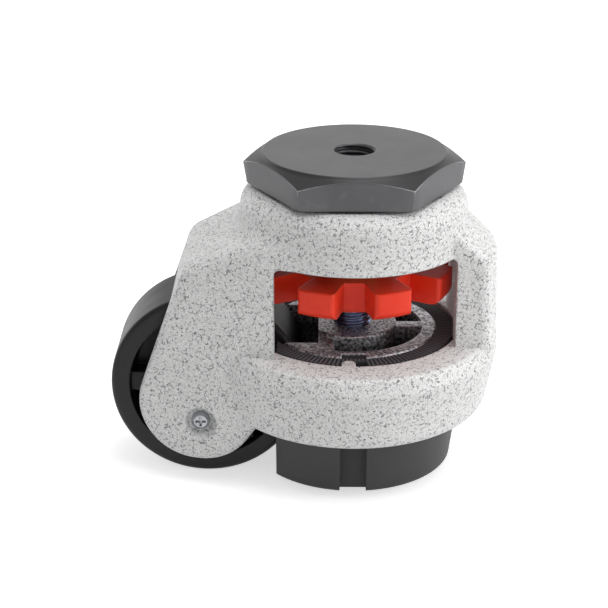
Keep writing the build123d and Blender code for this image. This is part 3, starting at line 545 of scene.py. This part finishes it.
def crown_drop(r):
    """How far the crown lies under the land: a cone, and a rounded shoulder at its inner edge."""
    out = np.maximum(r - CROWN_LAND, 0.0)
    return CROWN_SLOPE * out + CROWN_SHOULDER * smooth_step(out / CROWN_SHOULDER_WIDTH)


def mounting_head(node, columns=144, hole_rows=66, crown_rows=17, pitch=1.75 * MM, depth=0.9 * MM):
    """Head, hollow stem and tapped hole as one profile carried round the axis.

    The outer radius is a hexagon's, the flat's distance over the cosine of the turn from the flat's middle,
    so the crown's cone meets each flat in its own arc. The hole's radius follows the thread wave, which fades
    out at the hole's bottom and mouth. The crown's rows lie closer together near the land.
    """
    turn = np.linspace(0, 2 * np.pi, columns, endpoint=False)[None, :]
    hexagon = HEAD_FLAT / np.cos(turn % (np.pi / 3) - np.pi / 6)
    fade_at_bottom, fade_at_mouth = 0.8 * MM, 0.5 * MM
    stem_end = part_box(node)[0][2]
    clip_low, clip_high = (corner[2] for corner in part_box("kingpin_circlip"))
    even = 0 * turn
    radii, heights = [], []

    def row(r, z):
        radii.append(r + even)
        heights.append(z + even)

    for z in np.linspace(-HOLE_DEPTH, 0.0, hole_rows):
        fade = smooth_step((z + HOLE_DEPTH) / fade_at_bottom) * smooth_step(-z / fade_at_mouth)
        mouth = max(0.0, HOLE_MOUTH + z)
        row(HOLE_RADIUS + np.maximum(depth * fade * thread_wave(z, turn, pitch), mouth), z)
    row(0.6 * CROWN_LAND, 0.0)
    for part in np.linspace(0.0, 1.0, crown_rows) ** 1.6:
        r = CROWN_LAND + (hexagon - CROWN_LAND) * part
        row(r, -crown_drop(r))
    base = np.minimum(hexagon, HEAD_BASE_CORNER)
    row(base, BASE_BREAK - HEAD_HEIGHT)
    row(base - BASE_BREAK, -HEAD_HEIGHT)
    row(STEM_RADIUS, -HEAD_HEIGHT)
    row(STEM_RADIUS, clip_high)
    row(STEM_RADIUS - CLIP_GROOVE_DEPTH, clip_high)
    row(STEM_RADIUS - CLIP_GROOVE_DEPTH, clip_low)
    row(STEM_RADIUS, clip_low)
    row(STEM_RADIUS, stem_end)
    row(STEM_BORE_RADIUS, stem_end)
    row(STEM_BORE_RADIUS, -HOLE_DEPTH)
    radii = np.vstack(radii[::-1])
    heights = np.vstack(heights[::-1])
    piece = lathe_piece("mounting_head", radii, heights, turn, finishes[node], through_hole=True)
    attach(piece, "mount")
    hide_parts(node)


def foot_ribs(node, rim_margin=0.3 * MM, sink=0.1 * MM, columns_per_rib=8):
    """Ring of radial ribs on the rubber foot's top face.

    Its height is a sine of the turn about the axis. Its outer radius is even, but stops at the straight cut
    on the wheel's side and at the floor of the key groove in front.
    """
    low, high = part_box(node)
    cut_x = low[0] + rim_margin
    inner_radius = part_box("pad_carrier")[1][0] + rim_margin
    reach = np.arccos(cut_x / (inner_radius + rim_margin))
    columns = int(RIB_COUNT * columns_per_rib * reach / np.pi)
    turn = np.linspace(-reach, reach, columns)
    outer = np.full(columns, RIB_RING_OUTER)
    x = np.cos(turn) * RIB_RING_OUTER
    cut = x < cut_x
    outer[cut] = cut_x / np.cos(turn[cut])
    groove = (np.sin(turn) < 0) & (np.abs(x) < GROOVE_HALF_WIDTH)
    outer[groove] = GROOVE_FLOOR / -np.sin(turn[groove])
    inner = np.full(columns, inner_radius)
    top = high[2] + RIB_HEIGHT * (0.5 + 0.5 * np.sin(RIB_COUNT * turn))
    base = np.full(columns, high[2] - sink)
    radii = np.stack([inner, outer, outer, inner])
    heights = np.stack([base, base, top, top])
    points = np.stack([radii * np.cos(turn), radii * np.sin(turn), heights], axis=-1)
    index = np.arange(4 * columns).reshape(4, columns)
    after = np.roll(index, -1, axis=0)
    sides = np.stack([index[:, :-1], index[:, 1:], after[:, 1:], after[:, :-1]], axis=-1)
    faces = sides.reshape(-1, 4).tolist() + [index[:, 0].tolist(), index[::-1, -1].tolist()]
    piece = solid_piece("foot_ribs", points.reshape(-1, 3), faces, ribbed_rubber())
    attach(piece, "pad")


threaded_spindle("spindle")
mounting_head("hex_mount")
foot_ribs("foot_pad")


# ---------------------------------------------------------------- floor, light and camera
def floor_paper(lift=0.6):
    """Pale paper; to the camera and in reflections a glow lifts it to plain white, and its shadows stay."""
    f = Finish("floor_paper", 0.9, specular=0.1)
    f.colour((0.86, 0.86, 0.86, 1.0))
    path = f.tree.nodes.new("ShaderNodeLightPath")
    seen = maths(f.tree, "MAXIMUM", path.outputs["Is Camera Ray"], path.outputs["Is Glossy Ray"])
    seen = maths(f.tree, "MAXIMUM", seen, path.outputs["Is Transmission Ray"])
    f.shader.inputs["Emission Color"].default_value = (1, 1, 1, 1)
    put(f.tree, f.shader.inputs["Emission Strength"], maths(f.tree, "MULTIPLY", seen, lift))
    return f.material


def make_floor(size=6.0):
    """Flat floor under the lowest point of the wheel."""
    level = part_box("wheel")[0][2]
    side = np.array([[-1, -1], [1, -1], [1, 1], [-1, 1]]) * size / 2
    mesh = bpy.data.meshes.new("floor")
    mesh.from_pydata(np.column_stack([side, np.full(4, level)]).tolist(), [], [(0, 1, 2, 3)])
    mesh.materials.append(floor_paper())
    floor = bpy.data.objects.new("floor", mesh)
    bpy.context.scene.collection.objects.link(floor)


def softbox(name, place, aim, size, power):
    """Square area lamp that faces a point."""
    lamp = bpy.data.lights.new(name, "AREA")
    lamp.shape = "SQUARE"
    lamp.size = size
    lamp.energy = power
    holder = bpy.data.objects.new(name, lamp)
    holder.location = place
    holder.rotation_euler = (Vector(aim) - Vector(place)).to_track_quat("-Z", "Y").to_euler()
    bpy.context.scene.collection.objects.link(holder)
    holder.visible_camera = False


def studio_world(glow=0.48, white_from=0.1, white_past=0.7):
    """Even soft surroundings; the camera sees plain white, and so do reflections of what is behind the part.

    A reflection turns white as its direction's Y goes from white_from to white_past.
    """
    world = bpy.data.worlds.new("studio")
    bpy.context.scene.world = world
    world.use_nodes = True
    tree = world.node_tree
    tree.nodes.clear()
    path = tree.nodes.new("ShaderNodeLightPath").outputs
    split = tree.nodes.new("ShaderNodeSeparateXYZ")
    tree.links.new(tree.nodes.new("ShaderNodeTexCoord").outputs["Generated"], split.inputs[0])
    mirrored = maths(tree, "MAXIMUM", path["Is Glossy Ray"], path["Is Transmission Ray"])
    backdrop = maths(tree, "MULTIPLY", mirrored, ramp(tree, split.outputs["Y"], white_from, white_past))
    plain = tree.nodes.new("ShaderNodeBackground")
    plain.inputs["Color"].default_value = (1, 1, 1, 1)
    white = maths(tree, "MAXIMUM", backdrop, path["Is Camera Ray"])
    tree.links.new(maths(tree, "MAXIMUM", white, glow), plain.inputs["Strength"])
    tree.links.new(plain.outputs[0], tree.nodes.new("ShaderNodeOutputWorld").inputs[0])


make_floor()
studio_world()
centre = (-0.01, 0.0, -0.045)
softbox("key_overhead", (0.10, -0.08, 0.69), centre, 0.5, 2.35)
softbox("key_right", (0.66, -0.16, 0.20), centre, 0.4, 2.35)
softbox("rim_back", (-0.50, 0.45, 0.05), centre, 0.3, 0.3)

camera = bpy.data.objects.new("camera", bpy.data.cameras.new("camera"))
camera.location = (-0.00885, -0.39810, 0.11987)
aim = Vector((-0.01288, 0.0, -0.04257)) - Vector(camera.location)
camera.rotation_euler = aim.to_track_quat("-Z", "Y").to_euler()
camera.data.sensor_width = 36.0
camera.data.lens = 96.2
camera.data.clip_start = 0.01
camera.data.clip_end = 20.0
bpy.context.scene.collection.objects.link(camera)
bpy.context.scene.camera = camera
bpy.context.scene.view_settings.view_transform = "Standard"
